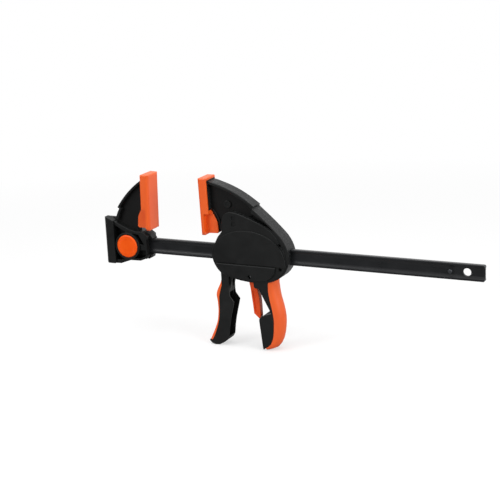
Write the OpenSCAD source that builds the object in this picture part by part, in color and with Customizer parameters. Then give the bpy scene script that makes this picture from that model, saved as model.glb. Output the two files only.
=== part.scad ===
// Quick release bar clamp: a steel bar with a fixed jaw locked at one end and a
// trigger-driven jaw that walks along it. The origin is under the middle of the
// clamp, on the surface that its two handle tips stand on; X runs along the bar.

/* [Bar] */
// Height of the bar's section
bar_h = 23; // [22:0.5:25]
// Thickness of the bar's flanges
bar_w = 7; // [6:0.5:8]
// Thickness of the bar's web
bar_web = 3.4; // [2.4:0.2:4.4]
// Height of each flange at its edge
bar_flange = 3; // [2.4:0.2:3.8]
// Whole length of the bar
bar_len = 563; // [500:1:700]
// Radius of the bar's end corners
bar_corner = 3; // [1:0.5:5]
// Diameter of the holes at the bar's ends
hole_d = 11; // [9:0.5:12]
// From a bar end to the middle of its hole
hole_inset = 24.5; // [23:0.5:27]
// Diameter of the stop pin
stop_d = 6; // [4:0.5:8]
// How far the stop pin stands out of each side of the bar
stop_proud = 2.5; // [1.5:0.5:4]
// From the bar's free end to the stop pin
stop_inset = 47; // [42:1:60]

/* [Jaws] */
// Gap between the two clamping faces
opening = 85.6; // [60:0.2:140]
// Height of the jaws above the bar
jaw_reach = 95; // [90:0.5:104]
// Width of the soft jaw caps
pad_w = 32; // [30:1:36]
// Depth of the soft jaw caps
pad_t = 13.6; // [12.6:0.2:14]
// Thickness of soft material at the clamping face
pad_face = 5.5; // [4.6:0.1:6]
// Height of the caps' lower edge above the bar
pad_lift = 13.5; // [12.5:0.5:16]
// How far the clamping faces lean in towards their tips, degrees
toe_in = 1.7; // [1:0.1:2]
// Corner radius of the soft caps
pad_round = 2; // [1:0.25:3]
// Radius of the upright edges beside the clamping faces
pad_edge = 4.5; // [3:0.5:5]
// Width of the jaw arms across their rims
arm_w = 22; // [20:1:24]
// Width of the jaw arms' webs
arm_web = 9.4; // [8:0.2:9.6]
// Thickness of the rim along each arm's back
rim_t = 4.5; // [3:0.5:6]

/* [Fixed jaw] */
// From the lock hole to the fixed clamping face
face_x = 40; // [39:0.5:44]
// Solid wall beyond the bar's end
end_wall = 14.5; // [12:0.5:16]
// Thickness of the spreader plate
plate_t = 17; // [15:0.5:18]
// Width of the spreader plate
plate_w = 32; // [30:1:34]
// Height of the spreader plate above the bar
plate_up = 28; // [25:0.5:29]
// Depth of the spreader plate below the bar
plate_down = 18.5; // [16:0.5:20]
// Diameter of the release button
button_d = 34; // [33.5:0.5:36]
// Thickness of the button's disc
button_t = 4; // [3:0.5:5]
// Wall of the ring round the button
ring_wall = 3.2; // [2.5:0.1:4]
// How far the button pushes in
button_travel = 4.5; // [4.3:0.1:4.6]
// Width of the fixed jaw's wall along the bar
jaw_web = 12; // [11:0.5:14]
// Width of the fixed jaw's web in the pockets between its ribs
pocket_web = 6; // [4:0.5:9]
// Width across the fixed jaw's ribs
jaw_rib_w = 26; // [24:1:28]
// Width of the socket where the bar goes in
socket_w = 13; // [12:0.5:16]

/* [Housing] */
// Length of the sliding head from clamping face to rear end
head_len = 132.5; // [131:0.5:136]
// Width of the housing's main body
body_w = 28; // [27:0.5:30]
// Width across the raised ovals
panel_w = 31; // [30:0.5:32]
// Width across the bands under the ovals
band_w = 33.6; // [32.6:0.2:34]
// Inner width of the mechanism chamber
chamber_w = 20.4; // [19.8:0.2:21]
// Depth of the crescent groove under the arm's rim, left across both sides
groove_w = 5; // [4:0.5:8]
// Width of the handle
handle_w = 26; // [24:1:28]
// From the bar's underside down to the handle tips
handle_drop = 130.5; // [126:0.5:140]

/* [Trigger] */
// Width of the trigger below the housing
trigger_w = 22; // [20.5:0.5:23]
// Wall of the trigger's hollow back
trigger_wall = 2.2; // [1.6:0.2:2.6]
// Width of the narrow part that enters the housing
neck_w = 14; // [13.6:0.2:15]
// Diameter of the trigger's pivot pin
pivot_d = 6; // [5:0.5:6.5]
// Height of the trigger's pivot above the bar
pivot_up = 8.5; // [8:0.5:10]
// How far the trigger swings, degrees
trigger_swing = 16; // [12:1:16]

/* [Release] */
// Width of the release lever
lever_w = 8.5; // [7:0.5:9]
// Depth of the finger recess in each side of the lever
lever_recess = 1.4; // [0.8:0.2:2]
// Diameter of the release lever's pin
lever_pin_d = 4; // [3:0.5:5]
// Depth of the release lever's pin below the bar
lever_pin_down = 18.6; // [18:0.2:19.4]

/* [Mechanism] */
// Thickness of one drive plate
drive_t = 2.5; // [2:0.1:3]
// Thickness of the brake plate
brake_t = 3; // [2.5:0.1:3.2]
// Tilt of the brake plate, degrees
brake_tilt = 4.9; // [4.5:0.1:5.3]
// Width of the drive and brake plates
jam_w = 18; // [16:0.5:19]
// Outer diameter of the drive spring
drive_coil_d = 6.2; // [5.6:0.1:6.4]
// Outer diameter of the brake spring
brake_coil_d = 8; // [7:0.1:8.6]
// Outer diameter of the button spring
button_coil_d = 16; // [13:0.5:18]
// Wire diameter of the three springs
wire_d = 0.9; // [0.7:0.1:1.1]

/* [Fits] */
// Gap round the bar in its guides
bar_gap = 0.3; // [0.2:0.05:0.4]
// Gap beside parts that move freely
free_gap = 0.3; // [0.25:0.05:0.4]
// Radial clearance of pins and screws
pin_gap = 0.04; // [0.02:0.01:0.08]

/* [Hidden] */
$fn = 64;

bt = bar_h / 2;                          // top of the bar above its centre line
up = bt + 2.7;                           // shapes above the bar are measured from here
dn = bt - 1.7;                           // and shapes below it from here downwards
jt = up + jaw_reach;                     // top of both jaws
tip = -dn - handle_drop;                 // the handle tips, which stand on the ground
plate_x = -hole_inset - end_wall;        // outer face of the spreader plate
bar_end_x = bar_len - hole_inset;        // free end of the bar
far_hole_x = bar_end_x - hole_inset;
stop_x = bar_end_x - stop_inset;
arm_d = 12.4;                            // depth of an arm's end inside its cap
proud = pad_t - arm_d;                   // how far the caps stand in front of the arms
nose = 1.2;                              // how far the sliding cap stands ahead of its head's zero
head_x = face_x + opening + proud + nose; // zero of the sliding head's own X
mid_x = (plate_x + bar_end_x) / 2;
big = 400;                               // longer than any cut needs

ring_r = button_d / 2 + free_gap + ring_wall;
button_y = plate_w / 2 + 1;              // the button's face, from the middle plane
pad_zb = up + pad_lift;                  // lower edge of the soft caps

pivot = [35, bt + pivot_up];             // trigger pivot, from the clamping face
lever_pin = [72, -bt - lever_pin_down];  // release lever pivot
fulcrum = [84, bt + 9];                  // where the brake plate's top end bears
nose_x = 43.9;                           // where the trigger pushes the drive plates
jam_top = bt + 6.5;
jam_bottom = -bt - 7;
rib_x = [65.8, 70];                      // rib that the drive spring pushes against
wall_x = 96;                             // wall that the brake spring pushes against
guide_x = [20.4, 112];                   // inner ends of the two bar guides

boss = [37.5, up + 58];                  // round boss of the screw in the arm's web
boss_w = 14;

// screws: place from the clamping face, height, half width of the housing there,
// and how deep a recess shows on the front face
screws = [
    [119.6, up + 4.4, body_w / 2, 1.8], [119.5, -dn - 6.5, body_w / 2, 1.8],
    [boss[0], boss[1], boss_w / 2, 0.5], [49.5, up + 34.5, body_w / 2, 0],
    [93.5, -dn - 33, handle_w / 2, 0], [94, tip + 22, handle_w / 2, 0]
];
screw_d = 3.4;
screw_head_d = 6.6;
screw_head_t = 2.2;
screw_seat = 3.2;                        // depth of the counterbore that hides a head
far_recess_d = 5.6;                      // round recess at a screw's far end
function screw_grip(s) = min(15, 2 * s[2] - screw_seat - 2.2);

// ---------- helpers ----------

// points on an arc from p towards q that bulges left of that way by sag
function bow(p, q, sag, n) =
    let (d = q - p, c = norm(d), s = abs(sag), r = (c * c / 4 + s * s) / (2 * s),
         left = [-d[1], d[0]] / c * sign(sag), mid = (p + q) / 2,
         o = mid - left * (r - s), half = asin(c / 2 / r) * (s > r ? -1 : 1))
    [for (i = [0:n - 1])
        let (a = -half + 2 * half * i / n)
        o + left * r * cos(a) + d / c * r * sin(a)];

// a smooth curve through all the points, k steps between neighbours
function smooth(p, k) =
    let (m = len(p) - 1)
    concat([for (i = [0:m - 1], j = [0:k - 1])
        let (a = p[max(i - 1, 0)], b = p[i], c = p[i + 1], d = p[min(i + 2, m)], t = j / k)
        (2 * b + (c - a) * t + (2 * a - 5 * b + 4 * c - d) * t * t
            + (3 * b - a - 3 * c + d) * t * t * t) / 2], [p[m]]);

function reversed(p) = [for (i = [len(p) - 1:-1:0]) p[i]];

// an outline's points turned about q
function leaned(p, q, a) = [for (v = p) let (d = v - q)
    q + [d[0] * cos(a) - d[1] * sin(a), d[0] * sin(a) + d[1] * cos(a)]];

// moves an outline along X
function shifted(p, dx) = [for (q = p) [q[0] + dx, q[1]]];

// a side outline given thickness from y0 to y1
module slab(y0, y1) {
    translate([0, y1, 0]) rotate([90, 0, 0]) linear_extrude(y1 - y0) children();
}

// a side outline, w wide about the middle plane
module wide(w) {
    slab(-w / 2, w / 2) children();
}

// the front (side -1) or back (side 1) half of what it is given
module half(side) {
    intersection() {
        children();
        translate([-big, side < 0 ? -big : 0, -big]) cube([3 * big, big, 2 * big]);
    }
}

module pin_y(d, y0, y1) {
    translate([0, y1, 0]) rotate([90, 0, 0]) cylinder(d = d, h = y1 - y0);
}

module rounded_rect(size, r) {
    translate([r, 0]) square([size[0] - 2 * r, size[1]]);
    translate([0, r]) square([size[0], size[1] - 2 * r]);
    for (x = [r, size[0] - r], y = [r, size[1] - r])
        translate([x, y]) circle(r = r);
}

// a box from low to high with every edge rounded
module soft_box(low, high, r) {
    s = high - low;
    translate(low) intersection() {
        linear_extrude(s[2]) rounded_rect([s[0], s[1]], r);
        translate([0, s[1], 0]) rotate([90, 0, 0]) linear_extrude(s[1])
            rounded_rect([s[0], s[2]], r);
        rotate([90, 0, 90]) linear_extrude(s[0]) rounded_rect([s[1], s[2]], r);
    }
}

// the skin between a front line and a back line, closed by a rounded back:
// each ring is a D whose flat side at the front line is as wide as widths says
module wrap(front, back, widths, power, steps) {
    n = len(front);
    m = steps + 1;
    ring = [for (i = [0:n - 1], j = [0:steps])
        let (a = 180 * j / steps, s = pow(max(sin(a), 0), power), q = front[i] + (back[i] - front[i]) * s)
        [q[0], widths[i] / 2 * cos(a), q[1]]];
    polyhedron(ring, concat(
        [for (i = [0:n - 2], j = [0:steps]) let (k = (j + 1) % m)
            [i * m + j, i * m + k, (i + 1) * m + k]],
        [for (i = [0:n - 2], j = [0:steps]) let (k = (j + 1) % m)
            [i * m + j, (i + 1) * m + k, (i + 1) * m + j]],
        [[for (j = [steps:-1:0]) j]],
        [[for (j = [0:steps]) (n - 1) * m + j]]));
}

// a coil spring along X with closed ends, from x = 0 to length
module coil(d, length, turns, sides = 6, per_turn = 14) {
    r = (d - wire_d) / 2;
    count = ceil(turns * per_turn);
    run = length - wire_d;
    pts = [for (i = [0:count], j = [0:sides - 1])
        let (a = 360 * turns * i / count, b = 360 * j / sides, q = r + wire_d / 2 * cos(b))
        [wire_d / 2 + run * i / count + wire_d / 2 * sin(b), q * cos(a), q * sin(a)]];
    polyhedron(pts, concat(
        [for (i = [0:count - 1], j = [0:sides - 1]) let (k = (j + 1) % sides)
            [i * sides + j, i * sides + k, (i + 1) * sides + k]],
        [for (i = [0:count - 1], j = [0:sides - 1]) let (k = (j + 1) % sides)
            [i * sides + j, (i + 1) * sides + k, (i + 1) * sides + j]],
        [[for (j = [sides - 1:-1:0]) j]],
        [[for (j = [0:sides - 1]) count * sides + j]]));
}

// places for what sits on the bar's end, and for what rides in the sliding head
module at_bar() {
    translate([-mid_x, 0, -tip]) children();
}

module at_head() {
    translate([head_x - mid_x, 0, -tip]) children();
}

// ---------- bar ----------

// an I whose flanges thin out towards their edges
module bar_section() {
    recess = (bar_w - bar_web) / 2;
    edge = bt - bar_flange;
    difference() {
        translate([-bar_w / 2, -bt]) rounded_rect([bar_w, bar_h], 1.2);
        for (s = [-1, 1])
            polygon([[s * (bar_w / 2 + 1), -edge - 1], [s * bar_w / 2, -edge],
                [s * (bar_w / 2 - recess * 0.7), -edge + 1.6], [s * (bar_w / 2 - recess), -edge + 4.4],
                [s * (bar_w / 2 - recess), edge - 4.4], [s * (bar_w / 2 - recess * 0.7), edge - 1.6],
                [s * bar_w / 2, edge], [s * (bar_w / 2 + 1), edge + 1]]);
    }
}

module bar() {
    color("#1c1d1f") at_bar() difference() {
        intersection() {
            translate([-hole_inset, 0, 0]) rotate([90, 0, 90]) linear_extrude(bar_len)
                bar_section();
            wide(bar_w + 2) translate([-hole_inset, -bt])
                rounded_rect([bar_len, bar_h], bar_corner);
        }
        for (x = [0, far_hole_x])
            translate([x, 0, 0]) pin_y(hole_d, -bar_w, bar_w);
        translate([stop_x, 0, 0]) pin_y(stop_d + 2 * pin_gap, -bar_w, bar_w);
    }
}

module bar_stop_pin() {
    reach = bar_w / 2 + stop_proud;
    dome = 0.8;
    color("#3a3b3d") at_bar() translate([stop_x, 0, 0]) rotate([90, 0, 0]) rotate_extrude()
        polygon([[0, -reach], [stop_d / 2 - dome, -reach], [stop_d / 2, -reach + dome],
            [stop_d / 2, reach - dome], [stop_d / 2 - dome, reach], [0, reach]]);
}

// ---------- soft caps and the arm ends that carry them ----------

skirt_w = 14.4;
skirt_back = 23;
skirt_rise = 34.5;
slab_d = 4.9;                            // depth of a cap's sides beside its cheeks
cheek_top = pad_zb + 29.5;               // above it the cap's sides reach back to arm_d
tongue_w = 10.2;
flange_w = 25;
flange_t = 0.8;

// outline of the cheeks that reach back from the cap's lower half
function skirt_edge() = smooth([
    [skirt_back, pad_zb + 1.8], [skirt_back - 0.8, pad_zb + 15.5], [skirt_back - 4.4, pad_zb + 24],
    [arm_d + 2.4, pad_zb + 30.8], [arm_d - 0.2, pad_zb + skirt_rise]], 4);

module jaw_cap() {
    z0 = pad_zb + 1.8;
    z1 = jt - 3.5;
    x0 = pad_face - proud;
    difference() {
        union() {
            intersection() {
                soft_box([-proud, -pad_w / 2, pad_zb], [arm_d, pad_w / 2, jt], pad_round);
                translate([-proud, -pad_w / 2, pad_zb]) linear_extrude(jt - pad_zb)
                    rounded_rect([2 * pad_t, pad_w], pad_edge);
            }
            soft_box([-proud, -pad_w / 2 + 2, pad_zb - 2.2],
                [5.5, pad_w / 2 - 2, pad_zb + 2 * pad_round + 2], pad_round);
            wide(skirt_w) polygon(concat([[arm_d - 4, pad_zb + skirt_rise], [arm_d - 4, pad_zb],
                [skirt_back - 1.5, pad_zb]], skirt_edge()));
        }
        for (s = [-1, 1])
            slab(s > 0 ? skirt_w / 2 : -pad_w, s > 0 ? pad_w : -skirt_w / 2)
                polygon([[slab_d, pad_zb - 5], [slab_d, cheek_top - 1.5], [slab_d + 1.5, cheek_top],
                    [big, cheek_top], [big, pad_zb - 5]]);
        translate([x0, -tongue_w / 2, z0]) cube([big, tongue_w, z1 - z0]);
        translate([x0, -flange_w / 2, cheek_top + 2])
            cube([arm_d - x0 - 0.01, flange_w, z1 - cheek_top - 2]);
        translate([arm_d - 0.02, -flange_w / 2, pad_zb + skirt_rise])
            cube([big, flange_w, z1 - pad_zb - skirt_rise]);
    }
}

// the tongue and the T flange on the end of an arm, which fill the cap up to z1
module arm_end(z1) {
    z0 = pad_zb + 1.8;
    x0 = pad_face - proud;
    slack = 0.15;
    translate([x0, -tongue_w / 2 + slack, z0])
        cube([skirt_back - x0 - 4, tongue_w - 2 * slack, skirt_rise]);
    translate([x0, -tongue_w / 2 + slack, z0])
        cube([arm_d - x0 + 1, tongue_w - 2 * slack, z1 - z0 - 2]);
    translate([x0, -flange_w / 2 + slack, cheek_top + 2 + slack])
        cube([arm_d - x0 - 0.3, flange_w - 2 * slack, jt - 5.5 - cheek_top - 2 * slack]);
    translate([arm_d - 0.4, -flange_w / 2 + slack, pad_zb + skirt_rise + slack])
        cube([flange_t + 0.4, flange_w - 2 * slack, z1 - pad_zb - skirt_rise - 2 * slack]);
}

// the foot of a clamping face stays where it is and the tip leans in
module at_nose() {
    translate([-proud, 0, pad_zb]) rotate([0, -toe_in, 0]) translate([proud, 0, -pad_zb]) children();
}

module at_fixed_nose() {
    translate([face_x - proud, 0, 0]) mirror([1, 0, 0]) at_nose() children();
}

module at_moving_nose() {
    translate([-nose, 0, 0]) at_nose() children();
}

function fixed_nose(p) = leaned([p], [face_x, pad_zb], -toe_in)[0];
function moving_nose(p) = leaned([p - [nose, 0]], [-proud - nose, pad_zb], toe_in)[0];

module fixed_jaw_pad() {
    color("#f2662b") at_bar() at_fixed_nose() jaw_cap();
}

module moving_jaw_pad() {
    color("#f2662b") at_head() at_moving_nose() jaw_cap();
}

// ---------- fixed jaw ----------

jaw_heel = [plate_x + plate_t - 2, up + plate_up - 2];
jaw_step = [-15.6, up + 43.2];
jaw_head = fixed_nose([face_x - pad_t + 0.4, jt - 8]);

// the curved back of the fixed jaw's arm, with a small step near its foot
function jaw_back(inset) = concat(
    bow([jaw_heel[0] + 4 + inset, jaw_heel[1] - 2], [-12.8 + inset, up + 41.4], 0.8, 3),
    [[-12.8 + inset, up + 41.4]],
    bow([jaw_step[0] + inset, jaw_step[1]], [jaw_head[0], jaw_head[1] - inset], 3.2, 10),
    [[jaw_head[0], jaw_head[1] - inset]]);

module jaw_arm_2d() {
    polygon(concat(jaw_back(0), [fixed_nose([face_x - pad_t + 0.4, up + 50]),
        fixed_nose([face_x - skirt_back - 1.6, up + 24]), [face_x - skirt_back - 1.6, up + 6],
        [jaw_heel[0] + 4, up + 6]]));
}

module jaw_body_2d() {
    polygon(concat(
        [[plate_x + 2, -dn - plate_down], [plate_x + 2, up + plate_up - 2], jaw_heel,
            [3, up + 11], [14, up + 8.5], [face_x - 15, up + 8.5]],
        bow([face_x - 13, up + 8.5], [face_x - 0.5, up - 5], 2.6, 5),
        [[face_x - 0.5, up - 5], [face_x - 0.5, -dn], [face_x - 6, -dn - 7], [20, -dn - 11.7],
            [2.5, -dn - 12.2], [-14, -dn - plate_down + 0.4]]));
}

// the ribs that stand on both sides of the fixed jaw's web
module jaw_ribs_2d() {
    // top edge: diagonal from the spreader plate, then along to the socket
    polygon([[plate_x + plate_t - 3, up + plate_up - 5], [3, up + 11], [14, up + 8.5],
        [face_x - 15, up + 8.5], [face_x - 15, up + 4], [16, up + 4], [0, up + 5.5],
        [plate_x + plate_t - 3, up + 18]]);
    // bottom edge
    polygon([[plate_x + 6, -dn - plate_down], [plate_x + 6, -dn - plate_down + 5],
        [-14, -dn - 13], [2, -dn - 9], [20, -dn - 8.5], [25.5, -dn - 6],
        [30, -dn - 7.5], [20, -dn - 11.7], [2.5, -dn - 12.2], [-14, -dn - plate_down + 0.4]]);
    polygon([[26.5, -dn - 7.5], [30.5, -dn - 2], [34, -dn + 2], [34, -dn - 3], [30, -dn - 8.5]]);
    // diagonal edge of the socket and the band beside the bar
    polygon([[12, up + 8.5], [face_x - 15, up + 8.5], [face_x - 6, up + 2], [face_x - 6, 3],
        [27.5, 3], [19, up + 3]]);
    translate([16, -dn + 4.4]) square([face_x - 22, 8.6]);
    translate([29.5, -dn - 1]) square([face_x - 35.5, 10]);
}

// the plate whose outer face pushes when the clamp is set up to spread
module spreader_plate() {
    x1 = plate_x + plate_t;
    h = plate_w / 2;
    c = 6.5;
    z0 = -dn - plate_down;
    z1 = up + plate_up;
    tall = z1 - z0;
    intersection() {
        translate([0, 0, z0]) linear_extrude(tall) polygon(concat([[x1, h], [x1, -h]],
            bow([plate_x + c, -h], [plate_x, c - h], 1.3, 5),
            [[plate_x, c - h]],
            bow([plate_x, h - c], [plate_x + c, h], 1.3, 5),
            [[plate_x + c, h]]));
        // its far corner is lower, and its top falls away towards the arm
        translate([plate_x, 0, 0]) rotate([90, 0, 90]) linear_extrude(plate_t)
            polygon([[-h, z0], [-h, z1 - 0.8], [-h + 1.6, z1], [-4, z1], [h - 7, z1 - 5.5],
                [h, z1 - 11], [h, z0]]);
        wide(plate_w + 1) intersection() {
            translate([plate_x, z0]) rounded_rect([plate_t, tall], 1.6);
            polygon([[plate_x, z0], [plate_x, z1], [plate_x + 4, z1], [x1, z1 - 5.2], [x1, z0]]);
        }
    }
}

module fixed_jaw() {
    cavity_y = button_y - 2.2;           // the spring's chamber ends at its cover
    leg_z = button_d / 2 - 1.2;
    color("#212322") at_bar() difference() {
        union() {
            spreader_plate();
            wide(pocket_web) jaw_body_2d();
            wide(jaw_web) intersection() {
                jaw_body_2d();
                translate([plate_x + 2, -bt - 2.5]) square([big, bar_h + 5]);
            }
            wide(jaw_rib_w) jaw_ribs_2d();
            pin_y(2 * ring_r, -plate_w / 2, button_y);
            wide(socket_w) polygon(concat([[20, up + 8]],
                bow([face_x - 13, up + 8], [face_x, up - 5], 2.6, 5),
                [[face_x, up - 5], [face_x, -dn - 1], [face_x - 8, -dn - 4], [20, -dn - 4]]));
            // lug under the socket
            wide(socket_w) polygon([[26.7, -dn - 8.8], [26.7, -dn - 3], [33.5, -dn + 2],
                [35, -dn - 2], [34.4, -dn - 7.5], [31, -dn - 9.6]]);
            wide(arm_web) jaw_arm_2d();
            wide(arm_w) polygon(concat(jaw_back(0), reversed(jaw_back(rim_t))));
            at_fixed_nose() {
                wide(arm_web) translate([12 - proud, pad_zb + 1.95]) square([skirt_back - 10, 25]);
                arm_end(jt - 11);
            }
        }
        // socket for the bar
        translate([-hole_inset - 0.5, -bar_w / 2 - bar_gap, -bt - bar_gap])
            cube([big, bar_w + 2 * bar_gap, bar_h + 2 * bar_gap]);
        // the socket's near wall ends before its roof
        translate([face_x - 8.7, -jaw_rib_w, -bt - bar_gap])
            cube([big, jaw_rib_w, bar_h + 2 * bar_gap]);
        // chamber of the button on the near side and of its spring on the far side
        pin_y(button_d + 2 * free_gap, -button_y - 1,
            -button_y + button_t + button_travel + free_gap);
        pin_y(button_d + 2 * free_gap, bar_w / 2 + bar_gap, cavity_y);
        pin_y(button_d - 2, cavity_y - 0.1, button_y + 1);
        // ways for the button's two legs
        translate([-7 - free_gap, -plate_w / 2 + 2, -leg_z - free_gap])
            cube([14 + 2 * free_gap, plate_w - 6, 2 * (leg_z + free_gap)]);
    }
}

module jaw_spring_cap() {
    color("#212322") at_bar() difference() {
        union() {
            pin_y(button_d - 2 - 2 * pin_gap, button_y - 2.2, button_y);
            pin_y(button_coil_d - 4, button_y - 4, button_y);
        }
        pin_y(button_coil_d - 7, button_y - 5, button_y - 3);
    }
}

bridge_y = bar_w / 2 + 0.7;              // near face of the lock pin's bridge
bridge_t = 3;

module jaw_button() {
    leg_t = 2.6;
    color("#fa6116") at_bar() {
        rotate([90, 0, 0]) rotate_extrude() polygon([[0, button_y - button_t],
            [button_d / 2, button_y - button_t], [button_d / 2, button_y - 1.2],
            [button_d / 2 - 1.2, button_y], [0, button_y]]);
        for (s = [-1, 1])
            translate([-7, -button_y + button_t - 0.5, s > 0 ? bt + 0.8 : -bt - 0.8 - leg_t])
                cube([14, button_y - button_t + 0.5 + bridge_y, leg_t]);
    }
}

module jaw_lock_pin() {
    pin_reach = bar_web / 2 + 0.5;
    color("#a9abad") at_bar() {
        pin_y(hole_d - 2 * free_gap, -pin_reach, bridge_y + 0.1);
        translate([-7, bridge_y, -bt - 3.4]) cube([14, bridge_t, bar_h + 6.8]);
    }
}

module jaw_lock_spring() {
    y0 = bridge_y + bridge_t;
    color("#b9bcc0") at_bar() translate([0, y0, 0]) rotate([0, 0, 90])
        coil(button_coil_d, button_y - 2.2 - y0, 2.5);
}

// ---------- sliding head: outlines ----------

arm_top = moving_nose([arm_d - 0.6, jt - 4.5]);
arm_foot = [80.5, up + 58.2];
body_knee = [119.5, up + 18.6];
rear = [head_len, up - 5];
rear_low = [head_len, -dn + 3];
grip_top = [109, -dn - 24.5];

// back of the jaw arm, moved in by inset
function spine(inset) = bow(arm_top - [0, inset], arm_foot - [inset * 0.5, inset], 4.8, 10);

// the housing's outline: its bottom and front, and all of it below the arm
function body_low() = concat(
    [grip_top, [99, -dn - 27.5]],
    bow([77, -dn - 29], [28, -dn - 20.4], 2.2, 5),
    bow([28, -dn - 20.4], [11.8, 0.5], 4.2, 6),
    bow([11.8, 0.5], [27.5, up + 18], 1.2, 4));
function body_edge() = concat(
    [arm_foot, arm_foot - [1.5, 3.5]],
    bow(arm_foot - [1.5, 3.5], body_knee, 0.9, 5),
    bow(body_knee, rear, 1.8, 5),
    [rear],
    bow(rear_low, grip_top, 4.5, 6),
    body_low());

// front edge of the body above the bar, behind the cap's cheeks
function throat() = smooth([[27.5, up + 18], moving_nose([skirt_back + 3.2, pad_zb + 8]),
    moving_nose([skirt_back + 1.9, pad_zb + 18]), moving_nose([skirt_back - 2.4, pad_zb + 27]),
    moving_nose([arm_d + 3, pad_zb + 35])], 3);

module arm_2d() {
    polygon(concat(spine(0), [arm_foot, arm_foot - [1.5, 3.5], [84, up + 45], [66, up + 40], [31, up + 20],
        [27.5, up + 18],
        [skirt_back - 4, up + 18], moving_nose([arm_d - 2, pad_zb + 30])]));
}

// upper edge of the side panels, from the front to the rear
function panel_top() = smooth([[29.6, up + 19], [29.6, up + 30], [31, up + 37.2],
    [35, up + 44.6], [41.5, up + 48], [48.5, up + 48.2], [63.5, up + 44.4], [89, up + 34.6],
    [101.6, up + 27.6], [110, up + 20.8], [117.4, up + 11.8], [122.8, up + 2.5],
    [127.2, up - 8], [127.6, -dn - 2], [122, -dn - 13], [113, -dn - 20.5]], 2);

module panel_2d() {
    polygon(concat(body_low(), panel_top()));
}

// the groove between the arm's back rim and the side panels
module crescent_2d() {
    polygon(concat(
        smooth([[35, up + 48.6], [47, up + 53], [61, up + 52.9], [72, up + 49.6],
            [80.5, up + 46], [90.4, up + 40.6], [100.4, up + 33.8], [110.3, up + 25]], 3),
        [[110.4, up + 24.2]],
        reversed(smooth([[34.5, up + 43.2], [41.5, up + 46.8], [48.5, up + 47], [63.5, up + 43.2],
            [89, up + 34], [101.6, up + 29.2]], 3))));
}

module body_2d() {
    difference() {
        polygon(concat(body_edge(), [[29.6, up + 19], [40, up + 30], [74, up + 38], [76, up + 43],
            [77.4, up + 51.5]]));
        crescent_2d();
    }
}

// the raised oval on each side, flat along its lower edge
module oval_2d() {
    polygon(concat(
        bow([26, up + 9.2], [70, up + 22.6], 4.2, 6),
        bow([70, up + 22.6], [118.6, up + 3], 5.4, 7),
        bow([118.6, up + 3], [head_len - 4, -dn - 2.8], 2.6, 5),
        [[head_len - 4, -dn - 2.8], [23, -dn - 2.8]],
        bow([23, -dn - 2.8], [14.8, -0.5], 1.8, 4),
        bow([14.8, -0.5], [26, up + 9.2], 1.2, 4)));
}

// the band under the oval, down to just above the housing's lower edge
module band_2d() {
    polygon(concat([[112.5, -dn - 3.6], [111, -dn - 12], [105.5, -dn - 19], [98, -dn - 24.4]],
        bow([77, -dn - 26.2], [30, -dn - 18.4], 1.8, 5),
        bow([30, -dn - 18.4], [19, -dn - 3.6], 1.4, 4),
        [[19, -dn - 3.6]]));
}

// front line and back line of the palm grip, top to bottom
function grip_front() = smooth([[99.4, -dn - 27.7], [98.9, -dn - 40], [100.8, -dn - 53],
    [103.4, -dn - 65], [105.8, -dn - 80], [105.7, tip + 37], [104.2, tip + 22],
    [99.5, tip + 10], [91.5, tip + 4]], 2);
function grip_back() = smooth([[109.4, -dn - 24.8], [110.6, -dn - 38], [112.8, -dn - 51],
    [116.4, -dn - 64], [119.1, -dn - 80], [118.2, tip + 34], [114.4, tip + 17],
    [106.5, tip + 4.6], [93.5, tip]], 2);

module handle_2d() {
    polygon(concat(reversed(grip_front()), [[grip_top[0] - 3, -dn - 20], [76, -dn - 20],
        [76.6, -dn - 36.3], [78.5, -dn - 37.5], [84.2, -dn - 38.5], [85.5, -dn - 41.4],
        [101.7, -dn - 72.4], [101.4, -dn - 74], [88.6, -dn - 78], [82.9, -dn - 82.3],
        [82.6, -dn - 84], [87.2, tip + 3], [88.5, tip + 1.6]]));
}

// ---------- sliding head: housing ----------

module chamber() {
    difference() {
        wide(chamber_w) union() {
            // drive chamber, open below for the trigger
            polygon([[guide_x[0], bt + 15.6], [rib_x[0], bt + 15.6], [rib_x[0], -bt - 10],
                [63.5, -bt - 12], [63.5, -bt - 40], [guide_x[0], -bt - 40]]);
            // brake chamber
            polygon([[rib_x[1], bt + 12], [wall_x, bt + 12], [wall_x, -bt - 12],
                [rib_x[1], -bt - 12]]);
        }
        // web that carries the brake plate's top end
        wide(chamber_w + 1) translate([fulcrum[0] + brake_t / 2 + 0.35, fulcrum[1] - 2])
            square([wall_x, 20]);
    }
    // way of the release lever, through the floor and into the handle
    wide(lever_w + 2 * free_gap) {
        polygon([[rib_x[0] + 0.5, -bt - 11], [86, -bt - 11], [86, -bt - 27], [84.5, -bt - 38],
            [88, -bt - 44], [88, -bt - 60], [60, -bt - 60], [rib_x[0] - 2.5, -bt - 24]]);
        polygon([[76, -dn - 86], [76, -dn - 66], [94, -dn - 66], [96.5, -dn - 72],
            [96.5, -dn - 86]]);
    }
}

module housing_solid() {
    wide(arm_web) arm_2d();
    wide(arm_w) polygon(concat(spine(0), [arm_foot, arm_foot - [1.5, 3.5], arm_foot - [3.6, 6]],
        reversed(spine(rim_t))));
    at_moving_nose() arm_end(jt - 3.5);
    wide(skirt_w) polygon(concat(throat(), reversed(shifted(throat(), 1.8))));
    wide(boss_w) translate(boss) circle(d = screw_head_d + 4.4);
    wide(body_w - 2) body_2d();
    wide(groove_w) crescent_2d();
    wide(body_w) panel_2d();
    wide(panel_w) oval_2d();
    wide(band_w) band_2d();
    wide(handle_w) handle_2d();
}

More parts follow.
